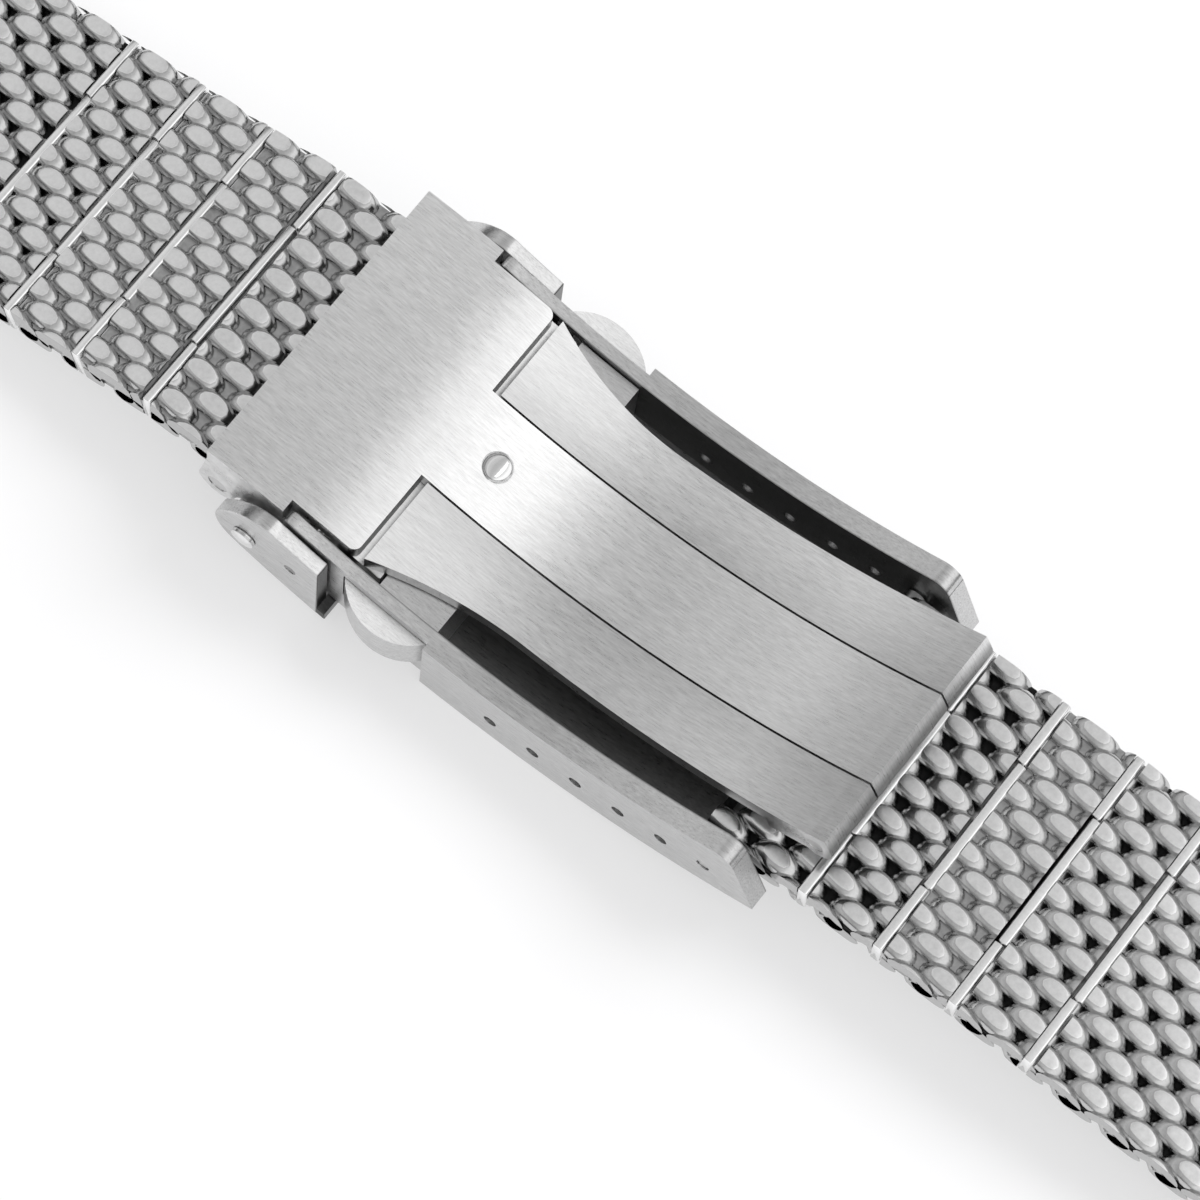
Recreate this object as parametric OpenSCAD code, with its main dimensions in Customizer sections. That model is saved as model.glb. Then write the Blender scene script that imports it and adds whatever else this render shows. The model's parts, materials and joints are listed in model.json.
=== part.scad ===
// Mesh watch band with a folding clasp, lying wrist side up.
// X runs along the band, Y across it and Z up. The table is z = 0.

/* [Band] */
// Width of the mesh
band_w = 20; // [18:0.5:22]
// Thickness of the mesh
mesh_t = 2.7; // [2.4:0.1:3]
// Length of the whole band, closed and laid out
band_len = 173; // [166:1:190]
// Distance from one row of wire to the next
row_pitch = 1.9; // [1.7:0.1:2.2]
// Distance between the turns of wire across the mesh, on the tongue side
tongue_turn = 2.6; // [2.3:0.1:2.8]
// Distance between the turns of wire across the mesh, on the cover side
cover_turn = 2.5; // [2.3:0.1:2.8]
// Depth of the grooves between turns
groove_depth = 0.55; // [0.3:0.05:0.6]
// Distance between the seams of the removable links
link_pitch = 5.7; // [5:0.1:6.2]
// Distance from the strap pin to the first seam on the tongue side
tongue_first = 6.6; // [6:0.1:7]
// Distance from the spring bar to the first seam on the cover side
cover_first = 6.2; // [6:0.1:7]
// Diameter of the pin in a link seam
link_pin_d = 1.4; // [1:0.1:1.5]
// Running clearance round each knuckle of the mesh
knuckle_gap = 0.12; // [0.1:0.02:0.2]

/* [Clasp curve] */
// Radius of the curve through the adjustment holes
arc_r = 50; // [44:1:60]
// Depth of the cover's outer face below that curve
floor_drop = 2.6; // [2.5:0.1:3.2]
// Height of the cover walls above that curve
wall_rise = 3.6; // [3.2:0.1:4]
// Height of the blade's top face above that curve
blade_rise = 4.5; // [4.2:0.1:5]

/* [Cover] */
// Thickness of the cover floor
floor_t = 1.1; // [0.8:0.1:1.3]
// Thickness of the wall beside the adjustment holes
thick_wall = 1.5; // [1.2:0.1:1.8]
// Thickness of the recessed wall beside the buttons
thin_wall = 0.9; // [0.7:0.1:1.1]
// Free space between the band and a cover wall
wall_gap = 0.5; // [0.4:0.1:0.8]
// Slope of the radial cut at the free end of the cover, in degrees
cover_end = 22.8; // [21:0.2:24]
// Place of the outward step in the wall
step_x = -5.5; // [-5.5:0.1:-4.5]
// Diameter of an adjustment hole
hole_d = 0.95; // [0.9:0.05:1]
// Distance between adjustment holes
hole_step = 3.35; // [3:0.05:3.4]

/* [Blades] */
// Thickness of the blades
blade_t = 1.2; // [1:0.1:1.3]
// Width of the tongue
tongue_w = 7.2; // [6:0.2:8]
// Gap between the tongue and each leg of the fork
blade_gap = 0.15; // [0.1:0.05:0.25]
// Width over both legs at the hinged end
fork_end_w = 16.8; // [16:0.2:17.6]
// Width over both legs at the waist
fork_waist_w = 16.1; // [15:0.1:16.5]
// Place of the hinge between fork and tongue
blade_hinge_x = 21.7; // [21.4:0.1:23]
// Radius of the barrels at that hinge
blade_barrel_r = 1.25; // [1.1:0.05:1.4]
// Diameter of the pins of both clasp hinges
hinge_pin_d = 1.2; // [1:0.1:1.3]
// Place of the hinge between cover and fork
fork_hinge_x = -14.2; // [-14.4:0.1:-14]
// Radius of the barrel at that hinge
fork_barrel_r = 1.3; // [1.1:0.05:1.35]
// Place of the shoulders of the tongue's head
shoulder_x = -12.2; // [-12.4:0.1:-12]
// Place of the notch in the side of the head
notch_x = -17.2; // [-17.6:0.1:-17.2]
// Place of the free edge of the head
head_x = -23.2; // [-23.6:0.1:-23]
// Radius of the crown of the head
crown_r = 61; // [50:1:80]
// Depth of the strap pin below the top of the head
lug_drop = 4.6; // [4.4:0.1:4.8]
// Thickness of each side lug
lug_t = 1.1; // [0.9:0.1:1.2]
// Diameter of the strap pin
strap_pin_d = 1.5; // [1.2:0.1:1.6]

/* [Lock] */
// Place of the latch post and of the middle of each button
post_x = -8.9; // [-9.1:0.1:-8.9]
// Diameter of the domed stud on the tongue
stud_d = 2; // [1.8:0.1:2.4]
// Diameter of the neck of the latch post
neck_d = 1.5; // [1.2:0.1:1.6]
// Diameter of the foot of the latch post
foot_d = 2.6; // [2.2:0.1:2.6]
// Length of a button along the band
button_len = 6.4; // [6:0.1:6.4]
// How far a button stands out of the thin wall
button_out = 1.6; // [1.4:0.1:1.8]
// Height of a button
button_h = 3.1; // [2.8:0.1:3.2]
// Travel of a button
button_travel = 0.8; // [0.5:0.1:0.8]
// Thickness of a latch jaw
jaw_t = 0.9; // [0.7:0.1:1]

/* [Safety flap] */
// Thickness of the flap's plate
flap_t = 0.9; // [0.7:0.1:1]
// Thickness of the flap's ears
ear_t = 1.05; // [0.9:0.05:1.2]
// Place of the rivets that the flap turns on
rivet_x = -19.1; // [-19.2:0.1:-19]
// Diameter of the rivets
rivet_d = 1.2; // [1:0.1:1.3]

/* [Spring bars] */
// Diameter of the tube of the spring bar in the adjustment holes
bar_d = 1.5; // [1.3:0.1:1.6]
// Diameter of the tubes of the watch bars
lug_bar_d = 1.8; // [1.7:0.1:1.9]
// Diameter of a spring bar's tips
tip_d = 0.8; // [0.7:0.05:0.85]
// How far a tip stands out of the tube of a watch bar
tip_out = 1.2; // [0.9:0.1:1.4]

/* [Hidden] */
$fn = 96;

// Clearances, and a length that reaches through everything
run_gap = 0.05;
slide_gap = 0.1;
side_gap = 0.15;
eps = 0.01;
far_away = 90;

// Sides and counts
near = -1;
far = 1;
tongue_side = -1;
cover_side = 1;
holes = 6;
links = 4;
groups = 5;

// Radii about the centre of the clasp's curve, which lies above the table
out_r = arc_r + floor_drop;
floor_r = out_r - floor_t;
rim_r = arc_r - wall_rise;
blade_r = arc_r - blade_rise;
under_r = blade_r + blade_t;
shelf_r = under_r + side_gap;
shelf_t = 1.2;
centre = [0, out_r];
ear_drop = 0.4;
ear_r = rim_r + ear_drop;
flap_r = out_r + side_gap + flap_t;

// Half widths, from the band outward
half_w = band_w / 2;
inner_y = half_w + wall_gap;
thin_y = inner_y + thin_wall;
thick_y = inner_y + thick_wall;
ear_y = thin_y + side_gap;
flap_y = ear_y + ear_t;
lug_y = half_w + slide_gap;
fork_y = inner_y - 0.35;
neck_y = inner_y - 0.25;
head_narrow_y = neck_y;
head_wide_y = lug_y + lug_t;

// A point of the side view, from its radius and its place along X
function on_arc(r, x) = [x, centre[1] - sqrt(r * r - x * x)];
function polar(p, r, a) = p + r * [cos(a), sin(a)];

fork_barrel_drop = 0.3;
fork_hinge = on_arc(shelf_r + fork_barrel_r + fork_barrel_drop, fork_hinge_x);
blade_hinge = on_arc(blade_r + blade_barrel_r, blade_hinge_x);
rivet_drop = 1.2;
rivet = on_arc(arc_r + rivet_drop, rivet_x);
rivet_boss_r = 1.7;
rivet_head = 0.25;

// The head's crown touches the blade's curve just past the shoulders
crown_start = on_arc(blade_r, shoulder_x + 0.5);
crown_centre = centre + (crown_start - centre) * (1 + crown_r / blade_r);
function crown_z(x, depth) =
    crown_centre[1] + sqrt((crown_r - depth) * (crown_r - depth) - pow(x - crown_centre[0], 2));
strap_pin_inset = 0.8;
strap_pin_x = head_x + strap_pin_inset;
strap_pin_at = [strap_pin_x, crown_z(strap_pin_x, 0) - lug_drop];
lug_r = 1.45;
swoop_gap = 0.3;
swoop_r = rivet_boss_r + swoop_gap;
knuckle_r = mesh_t / 2;

// Adjustment holes, and the last one, which holds the spring bar
function hole_at(i) = polar(centre, arc_r, -90 + i * hole_step / arc_r * 180 / PI);
bar_at = hole_at(holes - 1);

// Lock levels
lock_half = 3.35;
lock_wall = 0.6;
lock_x0 = post_x - lock_half;
lock_x1 = post_x + lock_half;
lock_floor_t = 0.4;
lock_floor_z = on_arc(floor_r, lock_x0)[1] + lock_floor_t;
spring_room = 1.05;
jaw_z0 = lock_floor_z + spring_room;
jaw_z1 = jaw_z0 + jaw_t;
jaw_play = 0.2;
lock_roof_z = jaw_z1 + jaw_play;
foot_h = 0.65;
foot_gap = 0.3;
hook_gap = 0.08;
hook_len = 1;
hook_y = foot_d / 2 + hook_gap;
jaw_end_y = hook_y + hook_len + 2 * button_travel + 0.32;
rib_y1 = jaw_end_y + 0.3;
rib_y0 = rib_y1 - 0.6;
heel_len = 1.9;
fork_heel_x = lock_x0 + heel_len;
button_r = (pow(button_len / 2, 2) + pow(button_out, 2)) / (2 * button_out);
button_drop = 0.4;
button_mid_r = under_r + slide_gap + button_drop + button_h / 2;
spring_r = 0.45;
spring_wall = 0.15;
stud_seat_z = on_arc(blade_r, post_x)[1];

// Inside of the spring bars; a watch bar's tips have a fatter stem that ends just outside the mesh
bar_wall = 0.17;
bar_cap = 0.4;
tip_step = 0.17;
lug_stem_r = tip_d / 2 + tip_step;
collar_len = 0.5;
end_tube_r = mesh_t / 2;

// Chain of segments, seen with the band's free end to the right
table_z = mesh_t / 2;
tongue_start = [-strap_pin_at[0], strap_pin_at[1]];
tongue_slopes = [-1, 13, 11, 10];
cover_slopes = [-3, -1.5, 0, 2.5, 6, 8, 8.5];

function next(p, l, a) = p + l * [cos(a), -sin(a)];
function landing(p, l) = asin((p[1] - table_z) / l);
function chain(p, lens, slopes, i = 0) =
    i == len(lens) ? [p] : concat([p], chain(next(p, lens[i], slopes[i]), lens, slopes, i + 1));

// Each long mesh is cut into groups of rows that turn as one; the last takes what is left
tube_x = band_len / 2 - end_tube_r;
function group_len(x) = (tube_x - x) / groups;
function repeat(value, n) = [for (i = [1:n]) value];
last = links + groups - 1;

tongue_lens4 = concat([tongue_first], repeat(link_pitch, links - 1));
tongue_p4 = chain(tongue_start, tongue_lens4, tongue_slopes)[links];
tongue_group = group_len(tongue_p4[0]);
tongue_a = concat(tongue_slopes, [landing(tongue_p4, tongue_group)], repeat(0, groups - 1));
tongue_lens = concat(tongue_lens4, repeat(tongue_group, groups - 1));
tongue_end = chain(tongue_start, tongue_lens, tongue_a)[last];
tongue_l = concat(tongue_lens, [tube_x - tongue_end[0]]);
tongue_p = chain(tongue_start, tongue_l, tongue_a);

cover_lens4 = concat([cover_first], repeat(link_pitch, links - 1));
cover_p4 = chain(bar_at, cover_lens4, cover_slopes)[links];
cover_group = group_len(cover_p4[0]);
cover_lens7 = concat(cover_lens4, repeat(cover_group, groups - 2));
cover_p7 = chain(bar_at, cover_lens7, cover_slopes)[last - 1];
cover_a = concat(cover_slopes, [landing(cover_p7, cover_group), 0]);
cover_lens = concat(cover_lens4, repeat(cover_group, groups - 1));
cover_end_p = chain(bar_at, cover_lens, cover_a)[last];
cover_l = concat(cover_lens, [tube_x - cover_end_p[0]]);
cover_p = chain(bar_at, cover_l, cover_a);

function points(side) = side < 0 ? tongue_p : cover_p;
function slopes(side) = side < 0 ? tongue_a : cover_a;
function lengths(side) = side < 0 ? tongue_l : cover_l;

// A side view drawn in X and Z, made into a solid across the band
module across(w) {
    rotate([90, 0, 0]) linear_extrude(height = w, center = true) children();
}

module between(y0, y1) {
    translate([0, y1, 0]) rotate([90, 0, 0]) linear_extrude(height = y1 - y0) children();
}

module both_sides() {
    children();
    mirror([0, 1, 0]) children();
}

module disc(p, r) {
    translate(p) circle(r = r);
}

// A round bar across the band at a point of the side view
module bar_y(p, r, y0, y1) {
    between(y0, y1) disc(p, r);
}

module wedge(x0, x1, r) {
    polygon([centre, (on_arc(r, x0) - centre) * 1.4 + centre, (on_arc(r, x1) - centre) * 1.4 + centre]);
}

// Part of a ring between two places along X, cut square to the curve
module ring(r0, r1, x0, x1) {
    intersection() {
        difference() {
            disc(centre, r1);
            disc(centre, r0);
        }
        wedge(x0, x1, r1);
    }
}

module ring_upright(r0, r1, x0, x1) {
    intersection() {
        difference() {
            disc(centre, r1);
            disc(centre, r0);
        }
        translate([x0, -eps]) square([x1 - x0, out_r]);
    }
}

// The cover's ends: its floor starts beside the flap's plate, its walls reach to the rivets
cover_x1 = out_r * sin(cover_end);
cover_x0 = -16.8;
wall_x0 = cover_x0 - 0.1;
wall_corner_r = 1.2;
floor_past_bar = 1.8;
relief_slope = 4;

module cover_wall_side() {
    difference() {
        ring(rim_r, out_r, wall_x0, cover_x1);
        wall_corner();
    }
    intersection() {
        union() {
            disc(rivet, rivet_boss_r);
            polygon([
                rivet + [0, rivet_boss_r],
                [wall_x0 + 1, rivet[1] + rivet_boss_r],
                on_arc(out_r, wall_x0 + 1),
                rivet
            ]);
            polygon([rivet, on_arc(out_r, wall_x0 + 1), on_arc(out_r, rivet_x)]);
        }
        disc(centre, out_r);
    }
}

// Rounds the upper corner at the free end of a wall
module wall_corner() {
    a = cover_end;
    inset = wall_corner_r / rim_r * 180 / PI;
    c = polar(centre, rim_r + wall_corner_r, -90 + a - inset);
    difference() {
        polygon([
            c,
            polar(centre, rim_r - 0.1, -90 + a - inset),
            polar(centre, rim_r - 0.1, -90 + a + 0.2),
            polar(centre, rim_r + wall_corner_r, -90 + a + 0.2)
        ]);
        disc(c, wall_corner_r);
    }
}

module button_side(grow) {
    x0 = post_x - button_len / 2 - grow;
    x1 = post_x + button_len / 2 + grow;
    ring_upright(button_mid_r - button_h / 2 - grow, button_mid_r + button_h / 2 + grow, x0, x1);
}

// Room above the floor's free end for the first link to turn down a little
module link_relief() {
    reach = 6;
    low = knuckle_r + side_gap;
    translate(bar_at) rotate(-relief_slope) {
        circle(r = low);
        translate([0, -low]) square([reach, 2 * low]);
    }
}

module clasp_cover() {
    color("silver") difference() {
        union() {
            across(2 * inner_y + eps) difference() {
                ring(floor_r, out_r, cover_x0, bar_at[0] + floor_past_bar);
                link_relief();
            }
            both_sides() between(inner_y, thin_y) cover_wall_side();
            both_sides() between(inner_y, thick_y) intersection() {
                cover_wall_side();
                translate([step_x, -eps]) square([far_away, out_r]);
            }
        }
        for (i = [0:holes - 1]) bar_y(hole_at(i), hole_d / 2, -far_away, far_away);
        bar_y(fork_hinge, hinge_pin_d / 2, -far_away, far_away);
        bar_y(rivet, rivet_d / 2, -far_away, far_away);
        both_sides() between(inner_y - 1, thick_y + 1) button_side(slide_gap);
    }
}

// The block that holds the jaws; its roof steps down under the heel of the fork
module lock_housing() {
    cavity_x0 = lock_x0 + lock_wall;
    cavity_len = 2 * (lock_half - lock_wall);
    top_r = under_r + side_gap + slide_gap;
    heel_top_r = shelf_r + shelf_t + side_gap;
    step_up_x = fork_heel_x + 2 * slide_gap;
    pocket_r = foot_d / 2 + foot_gap;
    color("lightgray") difference() {
        across(2 * (inner_y - slide_gap)) union() {
            ring_upright(top_r, floor_r, step_up_x, lock_x1);
            ring_upright(heel_top_r, floor_r, lock_x0, step_up_x + slide_gap);
        }
        difference() {
            translate([cavity_x0, -far_away, lock_floor_z])
                cube([cavity_len, 2 * far_away, lock_roof_z - lock_floor_z]);
            both_sides() translate([cavity_x0 - 1, rib_y0, lock_floor_z - 1])
                cube([cavity_len + 2, rib_y1 - rib_y0, jaw_z0 - slide_gap - lock_floor_z + 1]);
        }
        for (dx = [0, -1]) translate([post_x + dx, 0, lock_floor_z + 1])
            cylinder(r = pocket_r, h = far_away);
        translate([post_x - 1, -pocket_r, lock_floor_z + 1]) cube([1, 2 * pocket_r, far_away]);
    }
}

module cover_hinge_pin() {
    color("gray") bar_y(fork_hinge, hinge_pin_d / 2, -thin_y + run_gap, thin_y - run_gap);
}

module flap_rivets() {
    color("gray") both_sides() {
        bar_y(rivet, rivet_d / 2, inner_y, flap_y + run_gap + eps);
        bar_y(rivet, rivet_d / 2 + rivet_head, flap_y + run_gap, flap_y + run_gap + rivet_head);
    }
}

ear_x1 = post_x - button_len / 2 - 1.2;
ear_turn_x = rivet_x + 2.1;
ear_round_r = 2.4;
dimple_r = 0.45;
dimple_inset = 2.2;

// The top edge of an ear slopes down from its ring to the round round the rivet
module ear_side() {
    low = polar(rivet, ear_round_r, 115);
    high = on_arc(ear_r, ear_turn_x);
    slope = high - low;
    difference() {
        intersection() {
            union() {
                disc(rivet, ear_round_r);
                translate([rivet_x, 0]) square([ear_x1 - rivet_x, out_r]);
            }
            disc(centre, flap_r);
        }
        disc(centre, ear_r);
        polygon([low - slope, high + slope, high + [0, far_away], low + [-far_away, far_away]]);
    }
}

module safety_flap() {
    dimple = on_arc(arc_r - 0.3, ear_x1 - dimple_inset);
    color("silver") difference() {
        union() {
            both_sides() between(ear_y, flap_y) ear_side();
            across(2 * flap_y) ring(out_r + side_gap, flap_r, rivet_x - 0.2, ear_x1 + 0.6);
        }
        both_sides() bar_y(rivet, rivet_d / 2 + run_gap, ear_y - 1, flap_y + 1);
        both_sides() bar_y(dimple, dimple_r, flap_y - dimple_r, flap_y + 1);
    }
}

fork_tip_x = shoulder_x + 0.6;
waist_x = -1;
waist_y = fork_waist_w / 2;
waist_sweep_r = (pow(waist_x - fork_tip_x, 2) + pow(fork_y - waist_y, 2)) / (2 * (fork_y - waist_y));

// Plan of one leg: straight inside, swept in to the waist outside
module leg_plan() {
    leg_in = tongue_w / 2 + blade_gap;
    difference() {
        polygon([
            [fork_tip_x, leg_in],
            [far_away, leg_in],
            [blade_hinge_x + 3, fork_end_w / 2],
            [blade_hinge_x - 3, fork_end_w / 2],
            [waist_x, waist_y],
            [waist_x, fork_y],
            [fork_tip_x, fork_y]
        ]);
        translate([waist_x, waist_y + waist_sweep_r]) circle(r = waist_sweep_r, $fn = 256);
    }
}

end_pad_len = 3.2;
end_pad_t = 0.9;

// Side view of the hinged end that both blades share
module blade_end_side() {
    disc(blade_hinge, blade_barrel_r);
    ring(blade_r, under_r + end_pad_t, blade_hinge_x - end_pad_len, blade_hinge_x);
    ring(blade_r, under_r - 0.2, blade_hinge_x - 1, blade_hinge_x + 1);
}

module fork_blade() {
    color("silver") difference() {
        union() {
            intersection() {
                across(2 * fork_y) union() {
                    ring(blade_r, under_r, fork_tip_x * under_r / blade_r, blade_hinge_x);
                    ring_upright(blade_r, shelf_r + shelf_t, fork_tip_x, fork_heel_x);
                    blade_end_side();
                }
                both_sides() translate([0, 0, -far_away]) linear_extrude(height = 2 * far_away)
                    leg_plan();
            }
            across(2 * fork_y) {
                disc(fork_hinge, fork_barrel_r);
                ring_upright(shelf_r, shelf_r + shelf_t, fork_hinge_x, fork_heel_x);
            }
        }
        bar_y(fork_hinge, hinge_pin_d / 2 + run_gap, -far_away, far_away);
        bar_y(blade_hinge, hinge_pin_d / 2, -far_away, far_away);
    }
}

module blade_hinge_pin() {
    pin_y = fork_end_w / 2 - run_gap;
    color("gray") bar_y(blade_hinge, hinge_pin_d / 2, -pin_y, pin_y);
}

corner_r = 0.6;

// A plate in plan with its two corners on the right rounded
module corners_plan(x0, x1, y) {
    translate([x0, -y]) square([x1 - x0 - corner_r, 2 * y]);
    translate([x0, -y + corner_r]) square([x1 - x0, 2 * (y - corner_r)]);
    for (s = [-1, 1]) translate([x1 - corner_r, s * (y - corner_r)]) circle(r = corner_r, $fn = 48);
}

module head_plan() {
    corners_plan(notch_x - 1, shoulder_x, head_narrow_y);
    translate([head_x - 1, -head_wide_y]) square([notch_x - head_x + 1, 2 * head_wide_y]);
    translate([shoulder_x - 1, -tongue_w / 2]) square([far_away, tongue_w]);
}

// The crown of the head down to a depth; the window is larger than what is left of it
crown_window = 9;

module crown_side(depth) {
    intersection() {
        difference() {
            disc(crown_centre, crown_r);
            disc(crown_centre, crown_r - depth);
        }
        polygon([
            crown_centre,
            [head_x - 1, crown_z(head_x, 0) + crown_window],
            [head_x + crown_window, crown_z(head_x, 0) + crown_window],
            centre + (crown_start - centre) * 0.9
        ]);
        translate([head_x, 0]) square([far_away, far_away]);
    }
}

// Side view of a lug: round below the pin and swept clear of the rivet's boss
module lug_side() {
    difference() {
        union() {
            intersection() {
                crown_side(lug_drop + lug_r + 1);
                translate([head_x, strap_pin_at[1]]) square([notch_x - head_x, far_away]);
            }
            disc(strap_pin_at, lug_r);
            polygon([
                [head_x, crown_z(head_x, blade_t)],
                strap_pin_at + [-lug_r, 0],
                strap_pin_at
            ]);
        }
        disc(rivet, swoop_r);
        polygon([
            rivet + [0, swoop_r],
            [notch_x + 0.1, crown_z(notch_x, blade_t)],
            [notch_x + 0.1, 0],
            [rivet_x, 0]
        ]);
    }
}

module tongue_blade() {
    color("silver") difference() {
        union() {
            intersection() {
                across(2 * head_wide_y) union() {
                    crown_side(blade_t);
                    ring(blade_r, under_r, crown_start[0] * under_r / blade_r, blade_hinge_x);
                    blade_end_side();
                }
                linear_extrude(height = far_away) head_plan();
            }
            both_sides() between(lug_y, head_wide_y) lug_side();
        }
        bar_y(strap_pin_at, strap_pin_d / 2, -far_away, far_away);
        bar_y(blade_hinge, hinge_pin_d / 2 + run_gap, -far_away, far_away);
        translate([post_x, 0, 0]) cylinder(r = neck_d / 2, h = far_away);
        translate([post_x, 0, stud_seat_z]) cylinder(r = stud_d / 2 + run_gap, h = far_away);
    }
}

module latch_post() {
    foot_z = jaw_z0 - jaw_play - foot_h;
    stud_h = 0.35;
    dome_r = (stud_d * stud_d / 4 + stud_h * stud_h) / (2 * stud_h);
    color("silver") translate([post_x, 0, 0]) {
        translate([0, 0, foot_z]) cylinder(r = foot_d / 2, h = foot_h);
        translate([0, 0, foot_z]) cylinder(r = neck_d / 2, h = stud_seat_z - foot_z + stud_h / 2);
        intersection() {
            translate([0, 0, stud_seat_z + stud_h - dome_r]) sphere(r = dome_r);
            translate([0, 0, stud_seat_z]) cylinder(r = stud_d / 2 + 1, h = 1);
        }
    }
}

module strap_pin() {
    color("gray") bar_y(strap_pin_at, strap_pin_d / 2, -head_wide_y + run_gap, head_wide_y - run_gap);
}

// A button: its curved cap outside the wall and its neck inside
module push_button(side) {
    cap_y = thin_y - slide_gap;
    neck_inset = 0.9;
    color("silver") scale([1, side, 1]) {
        intersection() {
            between(cap_y, thin_y + button_out) button_side(0);
            translate([post_x, thin_y + button_out - button_r, 0]) cylinder(r = button_r, h = far_away);
        }
        between(neck_y, cap_y + eps) intersection() {
            button_side(0);
            translate([post_x - button_len / 2 + neck_inset, lock_floor_z + slide_gap])
                square([button_len - 2 * neck_inset, lock_roof_z - lock_floor_z - 2 * slide_gap]);
        }
    }
}

// A jaw: a slide behind the button, an arm past the post and a hook behind it
module latch_jaw(side) {
    slide_x = lock_half - lock_wall - slide_gap;
    arm_w = 0.65;
    color("darkgray") translate([post_x, 0, jaw_z0]) rotate([0, 0, side < 0 ? 0 : 180]) {
        translate([-slide_x, -neck_y, 0]) cube([2 * slide_x, neck_y - jaw_end_y, jaw_t]);
        translate([-slide_x, -jaw_end_y - eps, 0])
            cube([arm_w, jaw_end_y + hook_y + hook_len + eps, jaw_t]);
        translate([-slide_x, hook_y, 0]) cube([slide_x - side_gap, hook_len, jaw_t]);
    }
}

module button_spring(side) {
    at = [post_x, lock_floor_z + slide_gap + spring_r];
    color("gray") scale([1, side, 1]) difference() {
        bar_y(at, spring_r, rib_y1, neck_y);
        bar_y(at, spring_r - spring_wall, rib_y1 - 1, neck_y + 1);
    }
}

// The parts of a spring bar whose tube has diameter d and is half_len long each way
module bar_tube(p, d, stem_r, half_len) {
    difference() {
        bar_y(p, d / 2, -half_len, half_len);
        bar_y(p, d / 2 - bar_wall, -half_len + bar_cap, half_len - bar_cap);
        bar_y(p, stem_r + run_gap, -half_len - 1, half_len + 1);
    }
}

module bar_tip(p, d, stem_r, half_len, stem_out, out) {
    inside = half_len - bar_cap;
    bar_y(p, d / 2 - bar_wall - run_gap, inside - collar_len, inside);
    bar_y(p, stem_r, inside - collar_len, half_len + stem_out);
    bar_y(p, tip_d / 2, inside - collar_len, half_len + out);
}

module bar_spring(p, d, half_len) {
    end_y = half_len - bar_cap - collar_len;
    coil_r = d / 2 - bar_wall - slide_gap;
    difference() {
        bar_y(p, coil_r, -end_y, end_y);
        bar_y(p, coil_r - spring_wall, -end_y - 1, end_y + 1);
    }
}

strap_bar_half = inner_y - slide_gap;
strap_tip_out = thick_wall;
lug_bar_inset = 0.2;
lug_bar_half = half_w - lug_bar_inset;
lug_stem_out = lug_bar_inset + slide_gap;

module strap_bar() {
    color("gray") bar_tube(bar_at, bar_d, tip_d / 2, strap_bar_half);
}

module strap_bar_tip(side) {
    color("gray") scale([1, side, 1])
        bar_tip(bar_at, bar_d, tip_d / 2, strap_bar_half, 0, strap_tip_out);
}

module strap_bar_spring() {
    color("gray") bar_spring(bar_at, bar_d, strap_bar_half);
}

// Puts its children at the inner joint of segment i, with x along the segment
module on_segment(side, i) {
    p = points(side)[i];
    rotate([0, 0, side < 0 ? 180 : 0]) translate([p[0], 0, p[1]]) rotate([0, slopes(side)[i], 0])
        children();
}

ridge_h = 0.4;
strap_knuckle_inset = 0.8;
groove_w = 1.1;
row_margin = 0.3;

// Where the first row of wire lies past the inner seam of each link and of the long mesh, and where
// across the band a groove crosses it
tongue_rows = [1.25, 1.3, 1.75, 0.2, 0.95];
tongue_grooves = [-0.35, -0.35, -1.65, -0.35, -1.65];
cover_rows = [1.5, 1.2, 0.5, 0.5, 0.5];
cover_grooves = [0.95, 0.95, -0.3, 0.95, -0.3];

function first_row(side, k) = (side < 0 ? tongue_rows : cover_rows)[min(k, links)];
function first_groove(side, k) = (side < 0 ? tongue_grooves : cover_grooves)[min(k, links)];
function turn(side) = side < 0 ? tongue_turn : cover_turn;
function group_start(side, k) = k < links ? 0 : (k - links) * lengths(side)[links];

// Rows of coiled wire seen from the side, as round ridges on a flat core
module rows_side(side, k) {
    l = lengths(side)[k];
    from = group_start(side, k) - first_row(side, k);
    core = mesh_t - 2 * ridge_h;
    translate([0, -core / 2]) square([l, core]);
    for (i = [ceil((from + row_margin) / row_pitch):floor((from + l - row_margin) / row_pitch)])
        translate([i * row_pitch - from, 0]) circle(r = knuckle_r);
}

// Grooves between the turns of wire, shifted by half a turn from one row to the next
module turn_grooves(side, k) {
    l = lengths(side)[k];
    slope = turn(side) / 2 / row_pitch;
    y0 = first_groove(side, k) + (group_start(side, k) - first_row(side, k)) * slope;
    lowest = ceil((-half_w - l * slope - y0) / turn(side));
    highest = floor((half_w - y0) / turn(side));
    for (i = [lowest:highest], z = [-1, 1])
        translate([-1, y0 + i * turn(side) - slope, 0]) rotate([0, 0, atan(slope)])
            rotate([90, 0, 90]) linear_extrude(height = (l + 2) * sqrt(1 + slope * slope)) polygon([
                [-groove_w / 2, z * (knuckle_r + eps)],
                [groove_w / 2, z * (knuckle_r + eps)],
                [0, z * (knuckle_r - groove_depth)]
            ]);
}

module rows(side, k) {
    difference() {
        across(band_w) rows_side(side, k);
        turn_grooves(side, k);
    }
}

// Knuckles at a seam: the middle half on one part, the outer quarters on the other
module middle_knuckle(x, r, play) {
    bar_y([x, 0], r, -half_w / 2 + play, half_w / 2 - play);
}

module outer_knuckles(x, r, play) {
    both_sides() bar_y([x, 0], r, half_w / 2 + play, half_w + (play > 0 ? 0 : 1));
}

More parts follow.
